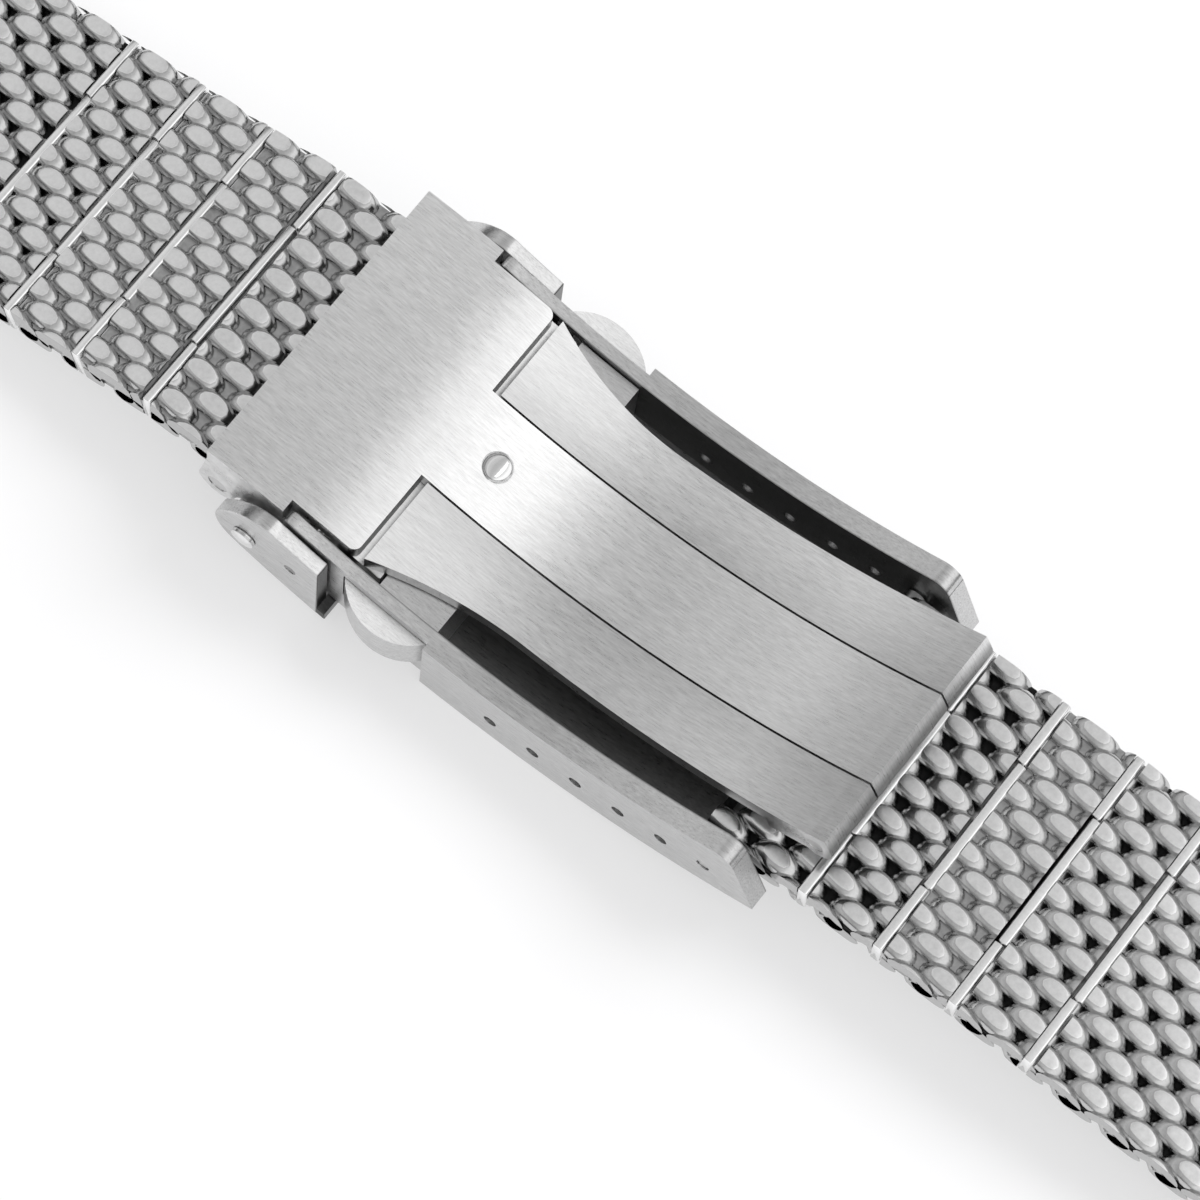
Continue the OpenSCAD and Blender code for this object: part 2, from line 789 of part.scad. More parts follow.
module removable_link(side, i) {
    l = lengths(side)[i];
    color("silver") on_segment(side, i) difference() {
        union() {
            difference() {
                rows(side, i);
                if (i > 0) outer_knuckles(0, knuckle_r + knuckle_gap, -knuckle_gap / 2);
                middle_knuckle(l, knuckle_r + knuckle_gap, -knuckle_gap / 2);
            }
            if (i > 0) middle_knuckle(0, knuckle_r, knuckle_gap / 2);
            if (i == 0)
                bar_y([0, 0], knuckle_r, strap_knuckle_inset - half_w, half_w - strap_knuckle_inset);
            outer_knuckles(l, knuckle_r, knuckle_gap / 2);
        }
        if (i == 0) bar_y([0, 0], (side < 0 ? strap_pin_d : bar_d) / 2 + run_gap, -far_away, far_away);
        if (i > 0) bar_y([0, 0], link_pin_d / 2 + run_gap, -far_away, far_away);
        bar_y([l, 0], link_pin_d / 2, -far_away, far_away);
    }
}

module link_pin(side, i) {
    l = lengths(side)[i];
    color("gray") on_segment(side, i)
        bar_y([l, 0], link_pin_d / 2, -half_w + run_gap, half_w - run_gap);
}

module mesh_group(side, i) {
    k = links + i;
    l = lengths(side)[k];
    color("silver") on_segment(side, k) difference() {
        union() {
            difference() {
                rows(side, k);
                if (i == 0) outer_knuckles(0, knuckle_r + knuckle_gap, -knuckle_gap / 2);
                if (i > 0) bar_y([0, 0], knuckle_r + knuckle_gap, -far_away, far_away);
            }
            if (i == 0) middle_knuckle(0, knuckle_r, knuckle_gap / 2);
            if (i < groups - 1) bar_y([l, 0], knuckle_r, -half_w, half_w);
        }
        if (i == 0) bar_y([0, 0], link_pin_d / 2 + run_gap, -far_away, far_away);
        if (i == groups - 1) bar_y([l, 0], end_tube_r, -far_away, far_away);
    }
}

function tube_at(side) = points(side)[links + groups];

module at_tube(side) {
    rotate([0, 0, side < 0 ? 180 : 0]) children();
}

module end_tube(side) {
    p = tube_at(side);
    color("silver") at_tube(side) difference() {
        bar_y(p, end_tube_r, -half_w, half_w);
        bar_y(p, lug_bar_d / 2 + run_gap, -far_away, far_away);
    }
}

module lug_bar(side) {
    color("gray") at_tube(side) bar_tube(tube_at(side), lug_bar_d, lug_stem_r, lug_bar_half);
}

module lug_spring(side) {
    color("gray") at_tube(side) bar_spring(tube_at(side), lug_bar_d, lug_bar_half);
}

// The near or far tip of a watch bar, whichever side of the clasp it is on
module lug_tip(side, y_side) {
    color("gray") at_tube(side) scale([1, side * y_side, 1])
        bar_tip(tube_at(side), lug_bar_d, lug_stem_r, lug_bar_half, lug_stem_out, tip_out);
}

clasp_cover();
lock_housing();
cover_hinge_pin();
flap_rivets();
safety_flap();
fork_blade();
blade_hinge_pin();
tongue_blade();
latch_post();
strap_pin();
push_button(near);  // push_button_near
push_button(far);  // push_button_far
latch_jaw(near);  // latch_jaw_near
latch_jaw(far);  // latch_jaw_far
button_spring(near);  // button_spring_near
button_spring(far);  // button_spring_far
strap_bar();
strap_bar_tip(near);  // strap_bar_tip_near
strap_bar_tip(far);  // strap_bar_tip_far
strap_bar_spring();
removable_link(tongue_side, 0);  // tongue_link_1
removable_link(tongue_side, 1);  // tongue_link_2
removable_link(tongue_side, 2);  // tongue_link_3
removable_link(tongue_side, 3);  // tongue_link_4
link_pin(tongue_side, 0);  // tongue_link_pin_1
link_pin(tongue_side, 1);  // tongue_link_pin_2
link_pin(tongue_side, 2);  // tongue_link_pin_3
link_pin(tongue_side, 3);  // tongue_link_pin_4
mesh_group(tongue_side, 0);  // tongue_mesh_1
mesh_group(tongue_side, 1);  // tongue_mesh_2
mesh_group(tongue_side, 2);  // tongue_mesh_3
mesh_group(tongue_side, 3);  // tongue_mesh_4
mesh_group(tongue_side, 4);  // tongue_mesh_5
end_tube(tongue_side);  // tongue_end_tube
lug_bar(tongue_side);  // tongue_lug_bar
lug_tip(tongue_side, near);  // tongue_lug_tip_near
lug_tip(tongue_side, far);  // tongue_lug_tip_far
lug_spring(tongue_side);  // tongue_lug_spring
removable_link(cover_side, 0);  // cover_link_1
removable_link(cover_side, 1);  // cover_link_2
removable_link(cover_side, 2);  // cover_link_3
removable_link(cover_side, 3);  // cover_link_4
link_pin(cover_side, 0);  // cover_link_pin_1
link_pin(cover_side, 1);  // cover_link_pin_2
link_pin(cover_side, 2);  // cover_link_pin_3
link_pin(cover_side, 3);  // cover_link_pin_4
mesh_group(cover_side, 0);  // cover_mesh_1
mesh_group(cover_side, 1);  // cover_mesh_2
mesh_group(cover_side, 2);  // cover_mesh_3
mesh_group(cover_side, 3);  // cover_mesh_4
mesh_group(cover_side, 4);  // cover_mesh_5
end_tube(cover_side);  // cover_end_tube
lug_bar(cover_side);  // cover_lug_bar
lug_tip(cover_side, near);  // cover_lug_tip_near
lug_tip(cover_side, far);  // cover_lug_tip_far
lug_spring(cover_side);  // cover_lug_spring
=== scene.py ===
# Looks of a mesh watch band with a folding clasp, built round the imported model.
# Sizes are in millimetres in the band's own frame, and become metres when a piece is made.
import json
import math

import bmesh
import bpy
import numpy as np
from mathutils import Matrix, Vector


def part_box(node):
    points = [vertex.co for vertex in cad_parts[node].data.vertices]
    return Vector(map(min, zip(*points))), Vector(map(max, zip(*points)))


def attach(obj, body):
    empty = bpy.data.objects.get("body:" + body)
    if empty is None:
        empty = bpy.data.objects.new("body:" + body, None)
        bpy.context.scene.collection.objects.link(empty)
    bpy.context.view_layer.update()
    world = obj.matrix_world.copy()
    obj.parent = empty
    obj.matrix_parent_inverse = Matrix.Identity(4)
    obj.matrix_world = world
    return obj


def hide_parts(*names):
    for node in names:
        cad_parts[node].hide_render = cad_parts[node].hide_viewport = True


MM = 0.001
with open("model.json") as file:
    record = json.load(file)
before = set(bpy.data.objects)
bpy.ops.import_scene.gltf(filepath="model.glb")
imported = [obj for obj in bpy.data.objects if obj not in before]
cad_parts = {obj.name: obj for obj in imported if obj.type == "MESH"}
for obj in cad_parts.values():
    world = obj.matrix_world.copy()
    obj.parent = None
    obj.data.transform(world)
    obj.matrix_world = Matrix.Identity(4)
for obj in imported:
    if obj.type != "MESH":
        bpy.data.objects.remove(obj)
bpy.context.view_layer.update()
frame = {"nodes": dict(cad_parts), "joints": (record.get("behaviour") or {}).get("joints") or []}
nodes = frame["nodes"]
joint_at = {j["name"]: Vector(j["pos_m"]) / MM for j in frame["joints"] if "pos_m" in j}


def box_mm(node):
    low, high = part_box(node)
    return low / MM, high / MM


# Camera: a long lens over the clasp, as in the photograph
CAMERA_AT = Vector((54.1, -105.8, 335.0))
CAMERA_RIGHT = Vector((0.79372, 0.60508, 0.06231))
CAMERA_UP = Vector((-0.58899, 0.73892, 0.32723))
CAMERA_LENS = 167.56
CAMERA_SENSOR = 36
# The nearest and furthest that it sees, in metres
CAMERA_REACH = (0.01, 10)

# Half the width and thickness of the mesh
HALF_W = box_mm("cover_mesh_3")[1].y
HALF_T = box_mm("cover_end_tube")[1].z / 2
# The wire's half height and half width, and how much narrower it gets where it turns down
WIRE_R = 0.68
WIRE_WIDE = 0.88
WIRE_TAPER = 0.22
# One row's coil: half its width along the band, how far its strands curl and arch across the band, and how
# flat they run over the top
COIL_HALF = 1.27
COIL_CURL = 0.52
COIL_ARCH = 0.2
COIL_FLATNESS = 0.3
RING_SIDES = 16
RINGS_PER_TURN = 26
# The ground ovals: how much of the oval lies inside its soft rim, and of that inside the low crown's slope,
# and how high each of them rises
OVAL_SHARE = 0.8
OVAL_RISE = 0.035
CROWN_SHARE = 0.65
CROWN_RISE = 0.01
# Distance between turns, where the middles of the top strands lie across the band in the two kinds of row,
# which take turns, and how high the strands rise
TURNS = {"tongue": (2.62, (0.36, 1.67), 0.8), "cover": (2.5, (0.96, 2.21), 0.75)}
# First row of each removable link: how far it lies from the left seam, its pitch, its kind
LINK_ROWS = {
    "cover_link_1": (-0.45, 1.95, 0),
    "cover_link_2": (-0.83, 2.05, 0),
    "cover_link_3": (0.50, 1.90, 0),
    "cover_link_4": (0.50, 1.90, 1),
    "tongue_link_4": (0.15, 1.78, 0),
    "tongue_link_3": (0.35, 1.80, 0),
    "tongue_link_2": (0.85, 1.77, 1),
    "tongue_link_1": (-0.50, 1.95, 0),
}
MESH_PITCH = 1.88
# The row of the long mesh nearest to its seam: how far it lies from the seam, and its kind
FIRST_MESH_ROW = {"tongue": (0.95, 0), "cover": (0.5, 0)}
# Links whose rows are filled with weld
FILLED_LINKS = ("cover_link_3", "tongue_link_1", "tongue_link_2", "tongue_link_3")
# Edges of the wire sharper than this many degrees stay sharp
CUT_ANGLE = 50
# How far below its highest place a face still counts as ground
GROUND_DEPTH = 0.002
LINKS = 4
MESH_GROUPS = 5
# The shortest piece of a row that is kept at the ends of a link and of the long mesh
LINK_SLIVER = 0.05
MESH_SLIVER = 0.1
# The long mesh stops this far from the axis of its end tube
TUBE_ROOM = 1.2

# Seam bars of the removable links: where they lie beside the seam, and how far the outer ones are set back
BAR_LEFT = -0.34
BAR_RIGHT = 0.36
# On the tongue side the bars are narrower, beside a dark parting line
TONGUE_BAR_LEFT = -0.22
BAR_JOG = 0.12
# Half their thickness, and the rounding of their left and right edges and of their ends
BAR_TOP = 1.3
BAR_ROUND_LEFT = 0.12
BAR_ROUND_RIGHT = 0.2
BAR_END = 0.05
CORNER_STEPS = 4
# The wire starts this far under the bar on its left, and stops this far from the bar on its right
UNDER_BAR = 0.03
SEAM_GAP = {"tongue": 0.07, "cover": 0.16}
# Gap across the band between a middle bar and the bars beside it
JOG_GAP = 0.12
# Half thickness of the black core, which is painted shade between the rows, and of the weld in the filled
# links
CORE_TOP = 0.3
FILL_TOP = 0.72
# How far the cores stay inside the band's edges, and inside the ends of a mesh group
CORE_INSET = 0.12
CORE_GAP = 0.02

# Where the clasp's curve has its centre, and the radius of the cover's rim
CURVE_Z = 52.6
RIM_R = 46.4
# The flap's ears: their faces across the band, and the radii of their top and bottom edges
RIVET = joint_at["flap_open"]
EAR_INNER_Y = 11.55
EAR_OUTER_Y = box_mm("safety_flap")[1].y
EAR_TOP_R = 46.9
EAR_BOTTOM_R = 53.65
# Where the ears end on the right, and where their top edge turns down towards the round end
EAR_END_X = -13.3
EAR_TURN_X = -17.2
# The round end about the rivet: its radius, the angles at which it starts and stops, how high the curve that
# leads down to it aims over the rivet, and how far left of the rivet the bottom edge starts
EAR_ROUND = 2.4
EAR_ROUND_FROM = 158
EAR_ROUND_TO = 250
EAR_PEAK = 4.35
EAR_LOW_BACK = 0.3
# The plate between the ears: its thickness, how far it runs past their ends, and how far it stays inside
# their outer faces
EAR_PLATE_T = 0.9
PLATE_PAST = 0.6
PLATE_INSET = 0.02
# The dimple in each ear: its place in X and Z, radius and depth
DIMPLE = (-15.5, 5.0, 0.45, 0.18)
# The sides of its rings, and their angles from the rim down
DIMPLE_SIDES = 24
DIMPLE_TURNS = (0, 22, 45, 68)
# Rounding of edges, on big and on small pieces, and the angles of the rings that make it
EDGE_R = 0.1
SMALL_EDGE_R = 0.05
EDGE_TURNS = (0, 30, 60, 90)
# Edges of the solids that are sharper than the first are softened, and edges of the flap and the walls' ends
# that are sharper than the second stay sharp
SOFT_ANGLE = 28
PLATE_ANGLE = 40
# Faces that meet at less than this are one face of a solid
SAME_FACE_ANGLE = 0.8
# Steps along a long curve, round the ear's end, and round the corner and along the rim of a wall's end
CURVE_STEPS = 8
EAR_STEPS = 12
RAIL_CORNER_STEPS = 6
RAIL_STEPS = 4
# The cover's walls: their inner and outer faces, and how much further out their ends lie, off those faces
WALL_Y = (10.5, 11.4)
WALL_PROUD = 0.005
# The ends of the walls beside the notch in the head: where they start and stop, and their corner's rounding
RAIL_START_X = -17.0
RAIL_END_X = -14.6
RAIL_ROUND = 0.5
# Domes: their radius, their height, and how far their rim lies under the top of the piece that they finish
STUD_DOME = (1.01, 0.48, 0.36)
RIVET_DOME = (0.87, 0.42, 0.24)
DOME_STEPS = 8
DOME_SIDES = 32

# The studio, in metres and watts. The floor: its size, how far it lies under the solids, its colour, and how
# much of what is seen of it glows
FLOOR_SIZE = 4
FLOOR_DROP = 0.00002
FLOOR_COLOUR = (0.9, 0.9, 0.91, 1)
FLOOR_GLOW = 0.52
# Lamps: where they are, what they point at, their size and their power
SOFTBOX = ((0.0035, 0.020, 0.058), (0.0035, 0.020, 0), (0.015, 0.12), 0.0037)
SHADOW_LAMP = ((0.14, 0.26, 0.36), (0, 0, 0), (0.25, 0.25), 1.35)
# A white studio whose walls differ a little in brightness, by the angle about the Y axis in degrees
STUDIO = ((-90, 0.12), (-76, 0.22), (-66, 0.56), (-52, 0.62), (-48, 0.74), (-45, 0.84), (-38, 0.70),
          (-26, 0.66), (-20, 0.57), (-8, 0.59), (-3, 0.66), (4, 0.70), (24, 0.85), (38, 1.25), (65, 1.25),
          (90, 0.5))
# Share of that brightness left at the horizon, and the heights between which it grows to all of it, where 0
# is level and 1 overhead
HORIZON = 0.25
HORIZON_FROM = 0.08
HORIZON_TO = 0.38

# Brushed steel: its fine and broad streaks to a metre, along the brushing and across it
FINE_STREAKS = (900, 8000)
BROAD_STREAKS = (60, 1800)
# How rough it is, how far its streaks differ in brightness, and how long its glints are
BRUSHED_ROUGH = 0.3
STREAK = 0.12
GLINT_STRETCH = 0.85
# Height of the grain in metres
GRAIN_HEIGHT = 0.00002


def new_material(name):
    material = bpy.data.materials.new(name)
    material.use_nodes = True
    tree = material.node_tree
    return material, tree, tree.nodes["Principled BSDF"]


def link(tree, out, into):
    tree.links.new(out, into)


def noise(tree, scale_xyz, detail, roughness):
    coords = tree.nodes.new("ShaderNodeTexCoord")
    mapping = tree.nodes.new("ShaderNodeMapping")
    mapping.inputs["Scale"].default_value = scale_xyz
    texture = tree.nodes.new("ShaderNodeTexNoise")
    texture.inputs["Scale"].default_value = 1.0
    texture.inputs["Detail"].default_value = detail
    texture.inputs["Roughness"].default_value = roughness
    link(tree, coords.outputs["Object"], mapping.inputs["Vector"])
    link(tree, mapping.outputs["Vector"], texture.inputs["Vector"])
    return texture.outputs["Fac"]


def ramp(tree, value, low, high, low_at=0.3, high_at=0.7):
    node = tree.nodes.new("ShaderNodeMapRange")
    node.inputs["From Min"].default_value = low_at
    node.inputs["From Max"].default_value = high_at
    node.inputs["To Min"].default_value = low
    node.inputs["To Max"].default_value = high
    link(tree, value, node.inputs["Value"])
    return node.outputs["Result"]


def grey(tree, value):
    node = tree.nodes.new("ShaderNodeCombineColor")
    for channel in ("Red", "Green", "Blue"):
        link(tree, value, node.inputs[channel])
    return node.outputs["Color"]


# Noise that is drawn out along X, and on a plate that curves up and down along X also in height
def streaks(tree, per_metre, curved, detail, roughness=0.5):
    along, across = per_metre
    return noise(tree, (along, across, along if curved else across), detail, roughness)


# Satin steel, brushed along the object's X axis: streaks in colour, roughness and height
def brushed_steel(name, level=0.72, curved=False):
    material, tree, shader = new_material(name)
    shader.inputs["Metallic"].default_value = 1.0
    shader.inputs["Anisotropic"].default_value = GLINT_STRETCH
    fine = streaks(tree, FINE_STREAKS, curved, 3.0, 0.7)
    broad = streaks(tree, BROAD_STREAKS, curved, 2.0)
    mix = tree.nodes.new("ShaderNodeMath")
    mix.operation = "ADD"
    link(tree, ramp(tree, fine, level - STREAK, level + STREAK), mix.inputs[0])
    link(tree, ramp(tree, broad, -STREAK / 8, STREAK / 8), mix.inputs[1])
    link(tree, grey(tree, mix.outputs[0]), shader.inputs["Base Color"])
    link(tree, ramp(tree, fine, BRUSHED_ROUGH - 0.04, BRUSHED_ROUGH + 0.06), shader.inputs["Roughness"])
    bump = tree.nodes.new("ShaderNodeBump")
    bump.inputs["Strength"].default_value = 0.12
    bump.inputs["Distance"].default_value = GRAIN_HEIGHT
    link(tree, fine, bump.inputs["Height"])
    link(tree, bump.outputs["Normal"], shader.inputs["Normal"])
    across = tree.nodes.new("ShaderNodeCombineXYZ")
    across.inputs["Y"].default_value = 1.0
    turned = tree.nodes.new("ShaderNodeVectorTransform")
    turned.vector_type = "VECTOR"
    turned.convert_from = "OBJECT"
    turned.convert_to = "WORLD"
    link(tree, across.outputs["Vector"], turned.inputs["Vector"])
    link(tree, turned.outputs["Vector"], shader.inputs["Tangent"])
    return material


# Paints light and shade: scales a material's colour between two places in millimetres along an axis, or
# outward from the middle
def shade(material, axis, start, end, level_start, level_end, outward=False):
    tree = material.node_tree
    shader = tree.nodes["Principled BSDF"]
    colour = shader.inputs["Base Color"].links[0].from_socket
    coords = tree.nodes.new("ShaderNodeTexCoord")
    parts = tree.nodes.new("ShaderNodeSeparateXYZ")
    link(tree, coords.outputs["Object"], parts.inputs["Vector"])
    place = parts.outputs[axis]
    if outward:
        away = tree.nodes.new("ShaderNodeMath")
        away.operation = "ABSOLUTE"
        link(tree, place, away.inputs[0])
        place = away.outputs[0]
    scaled = tree.nodes.new("ShaderNodeVectorMath")
    scaled.operation = "SCALE"
    link(tree, colour, scaled.inputs[0])
    link(tree, ramp(tree, place, level_start, level_end, start * MM, end * MM), scaled.inputs["Scale"])
    link(tree, scaled.outputs[0], shader.inputs["Base Color"])


# Fine satin without a direction, for wire, pins and hidden parts
def satin_steel(name, level, rough, spread=0.04, grain=4000, bump_strength=0.1):
    material, tree, shader = new_material(name)
    shader.inputs["Metallic"].default_value = 1.0
    cloud = noise(tree, (grain, grain, grain), 4.0, 0.6)
    link(tree, grey(tree, ramp(tree, cloud, level - spread, level + spread)), shader.inputs["Base Color"])
    link(tree, ramp(tree, cloud, rough - 0.03, rough + 0.05), shader.inputs["Roughness"])
    bump = tree.nodes.new("ShaderNodeBump")
    bump.inputs["Strength"].default_value = bump_strength
    bump.inputs["Distance"].default_value = GRAIN_HEIGHT
    link(tree, cloud, bump.inputs["Height"])
    link(tree, bump.outputs["Normal"], shader.inputs["Normal"])
    return material


# Painted highlight and shade along the blades: the tongue's colour is lightest just right of the stud, and
# the fork's legs are darkest there and along the tongue
TONGUE = brushed_steel("tongue_steel", curved=True)
shade(TONGUE, "X", -22, -13, 1.2, 1)
shade(TONGUE, "X", -13, -7.5, 0.92, 1.17)
shade(TONGUE, "X", -5.5, 0, 1, 0.86)
FORK = brushed_steel("fork_steel", 0.7, curved=True)
shade(FORK, "X", -9, 0, 0.84, 1)
shade(FORK, "Y", 3.75, 7, 0.9, 1.04, outward=True)
# Painted shade: the near side is a little darker than the far side, and the blades' round ends are dark
shade(FORK, "Y", -8, 8, 0.92, 1.06)
shade(TONGUE, "Y", -11, 11, 0.93, 1.07)
for blade in (FORK, TONGUE):
    shade(blade, "X", 22.4, 22.75, 1, 0.42)
# Painted shade: the cover is a darker level of steel than the blades, and its walls are darker still on
# their inner faces, inside the channel
COVER = brushed_steel("cover_steel", 0.6)
shade(COVER, "Y", WALL_Y[0] + 0.01, WALL_Y[0] + 0.12, 0.37, 1, outward=True)
# Painted shade: the side pieces are a darker level of the same steel than the blades
SIDE = brushed_steel("side_steel", 0.62)
# Painted shade: the flap's ears are a darker level of steel than the blades, and have dark ends
FLAP = brushed_steel("flap_steel", 0.62)
shade(FLAP, "X", EAR_END_X - 0.12, EAR_END_X - 0.04, 1, 0.09)
# The wire is darker than its ground flats: partly the flats' own ground finish, partly painted shade on the
# wire's sides
WIRE = satin_steel("wire_steel", 0.54, 0.2)
GROUND = satin_steel("ground_steel", 0.83, 0.32, 0.06, 3000, 0.3)
BAR = satin_steel("bar_steel", 0.92, 0.22)
FILLER = satin_steel("filler_steel", 0.42, 0.42, 0.08, 2500, 0.5)
# A black sheet under the wires, for painted shade between the rows
SHADE_CORE = satin_steel("painted_shade_core", 0.03, 0.6, 0.01)
PIN = satin_steel("turned_steel", 0.62, 0.3)
POLISHED = satin_steel("polished_steel", 0.8, 0.08, 0.02)
# Dark steel for the painted shade in the ears' dimples
DISH_SHADE = satin_steel("painted_shade_dish", 0.3, 0.15, 0.03)


def make_object(name, vertices, faces, material, smooth=True):
    mesh = bpy.data.meshes.new(name)
    mesh.from_pydata([tuple(v) for v in np.asarray(vertices) * MM], [], faces)
    mesh.materials.append(material)
    mesh.polygons.foreach_set("use_smooth", [smooth] * len(mesh.polygons))
    mesh.update()
    piece = bpy.data.objects.new(name, mesh)
    bpy.context.scene.collection.objects.link(piece)
    return piece


def arrays(bm):
    bm.verts.index_update()
    return np.array([v.co[:] for v in bm.verts]), [[v.index for v in f.verts] for f in bm.faces]


# Cuts a closed form with a plane, drops what lies outside and closes the cut
def cut(bm, at, outward):
    everything = bm.verts[:] + bm.edges[:] + bm.faces[:]
    result = bmesh.ops.bisect_plane(bm, geom=everything, dist=1e-6, plane_co=at,
                                    plane_no=outward, clear_outer=True)
    rim = [e for e in result["geom_cut"] if isinstance(e, bmesh.types.BMEdge)]
    if not rim:
        return []
    return bmesh.ops.edgeloop_fill(bm, edges=rim)["faces"]


# The middle line of one row's wire: a flattened coil that runs across the band
def coil_line(turns_from, turns_to, pitch, rise):
    steps = int(round((turns_to - turns_from) * RINGS_PER_TURN))
    t = np.linspace(turns_from, turns_to, steps + 1) * 2 * math.pi
    x = -COIL_HALF * np.cos(t)
    y = pitch * (t / (2 * math.pi) - 0.25) + COIL_CURL * np.cos(t) - COIL_ARCH * np.cos(t) ** 2
    z = rise * np.sin(t) * (1 + COIL_FLATNESS * np.cos(t) ** 2)
    return np.stack([x, y, z], 1)


def tube(line, radius, wide, sides):
    tangent = np.gradient(line, axis=0)
    tangent /= np.linalg.norm(tangent, axis=1)[:, None]
    across = np.array([0.0, 1.0, 0.0]) - tangent * tangent[:, 1:2]
    across /= np.linalg.norm(across, axis=1)[:, None]
    third = np.cross(tangent, across)
    turn = np.arange(sides) * 2 * math.pi / sides
    taper = 1 - WIRE_TAPER * (line[:, 0] / COIL_HALF) ** 2
    ring = wide * (taper[:, None] * across)[:, None] * np.cos(turn)[None, :, None]
    ring = ring + radius * third[:, None] * np.sin(turn)[None, :, None]
    vertices = (line[:, None] + ring).reshape(-1, 3)
    faces = []
    for i in range(len(line) - 1):
        for j in range(sides):
            k = (j + 1) % sides
            faces.append((i * sides + j, i * sides + k, (i + 1) * sides + k, (i + 1) * sides + j))
    faces.append(tuple(reversed(range(sides))))
    faces.append(tuple((len(line) - 1) * sides + j for j in range(sides)))
    return vertices, faces


def to_bmesh(vertices, faces):
    bm = bmesh.new()
    made = [bm.verts.new(v) for v in vertices]
    for face in faces:
        bm.faces.new([made[i] for i in face])
    bmesh.ops.recalc_face_normals(bm, faces=bm.faces[:])
    return bm


# Steps each face up to a smaller copy of itself, drawn in towards its middle
def step_up(bm, faces, share, rise):
    bmesh.ops.inset_individual(bm, faces=faces, thickness=0, depth=0)
    for face in faces:
        middle = face.calc_center_median_weighted()
        out = face.normal.copy()
        for v in face.verts:
            v.co = middle + (v.co - middle) * share + out * rise


# One row of wire, its tops and bottoms ground flat and its ends ground off at the band's edges
def coil_row(pitch, strand_y, rise):
    turns = math.ceil(HALF_W / pitch + 1)
    line = coil_line(-turns, turns + 1, pitch, rise)
    line[:, 1] += strand_y
    bm = to_bmesh(*tube(line, WIRE_R, WIRE_WIDE, RING_SIDES))
    flats = []
    for side in (1, -1):
        flats += cut(bm, (0, 0, side * (HALF_T - OVAL_RISE - CROWN_RISE)), (0, 0, side))
    bmesh.ops.recalc_face_normals(bm, faces=bm.faces[:])
    step_up(bm, flats, OVAL_SHARE, OVAL_RISE)
    step_up(bm, flats, CROWN_SHARE, CROWN_RISE)
    for side in (1, -1):
        cut(bm, (0, side * HALF_W, 0), (0, side, 0))
    return bm


ROWS = {side: [coil_row(pitch, y, rise) for y in places] for side, (pitch, places, rise) in TURNS.items()}
ROW_ARRAYS = {side: [arrays(bm) for bm in rows] for side, rows in ROWS.items()}
ROW_REACH = COIL_HALF + WIRE_R


# Joins rows of wire at the given places along a segment, cut off at each end that is given
def weave(side, rows, low, high):
    all_vertices, all_faces, count = [], [], 0
    for along, kind in rows:
        vertices, faces = ROW_ARRAYS[side][kind]
        cut_low = low is not None and along - ROW_REACH < low
        cut_high = high is not None and along + ROW_REACH > high
        if cut_low or cut_high:
            bm = ROWS[side][kind].copy()
            if cut_low:
                cut(bm, (low - along, 0, 0), (-1, 0, 0))
            if cut_high:
                cut(bm, (high - along, 0, 0), (1, 0, 0))
            vertices, faces = arrays(bm)
            bm.free()
        if len(vertices) == 0:
            continue
        all_vertices.append(vertices + np.array([along, 0, 0]))
        all_faces += [[i + count for i in face] for face in faces]
        count += len(vertices)
    return np.concatenate(all_vertices), all_faces


# The links or the mesh groups of one side, from the clasp outwards
def bodies_of(side, kind, count):
    return ["%s_%s_%d" % (side, kind, i + 1) for i in range(count)]


# A segment's own axes: u along the band towards +X, y across it and w up out of it
class Segment:
    def __init__(self, left, right):
        self.left = left
        self.length = (right - left).length
        u = (right - left).normalized()
        y = Vector((0, 1, 0))
        w = u.cross(y)
        self.axes = np.array([u, y, w])

    def place(self, vertices):
        return np.asarray(vertices) @ self.axes + np.array(self.left)


# The segments of one side, each between two hinges
def chain(side):
    bodies = bodies_of(side, "link", LINKS) + bodies_of(side, "mesh", MESH_GROUPS)
    points = [joint_at[b + "_turn"] for b in bodies] + [joint_at[side + "_lug_swivel"]]
    segments = {}
    for i, body in enumerate(bodies):
        ends = sorted((points[i], points[i + 1]), key=lambda p: p.x)
        segments[body] = Segment(*ends)
    return segments


SEGMENTS = {**chain("tongue"), **chain("cover")}

# What lies under the wires: a black core, painted shade between the rows, or weld where a link is filled
def core(body, low, high, top, material):
    wide = HALF_W - CORE_INSET
    vertices = [(x, y, z) for x in (low, high) for y in (-wide, wide) for z in (-top, top)]
    faces = [(0, 1, 3, 2), (4, 6, 7, 5), (0, 4, 5, 1), (2, 3, 7, 6), (0, 2, 6, 4), (1, 5, 7, 3)]
    piece = make_object(body + "_core", SEGMENTS[body].place(vertices), faces, material, False)
    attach(piece, body)


# A weave: wire, with the places ground flat in their own lighter finish, and the rest darker, partly as
# painted shade on the wire's sides
def weave_piece(body, vertices, faces):
    piece = make_object(body + "_weave", SEGMENTS[body].place(vertices), faces, WIRE)
    piece.data.materials.append(GROUND)
    piece.data.set_sharp_from_angle(angle=math.radians(CUT_ANGLE))
    ground_off = np.abs(vertices[:, 2]) > HALF_T - OVAL_RISE - CROWN_RISE - GROUND_DEPTH
    for polygon, face in zip(piece.data.polygons, faces):
        if ground_off[face].all():
            polygon.material_index = 1
    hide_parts(body)
    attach(piece, body)


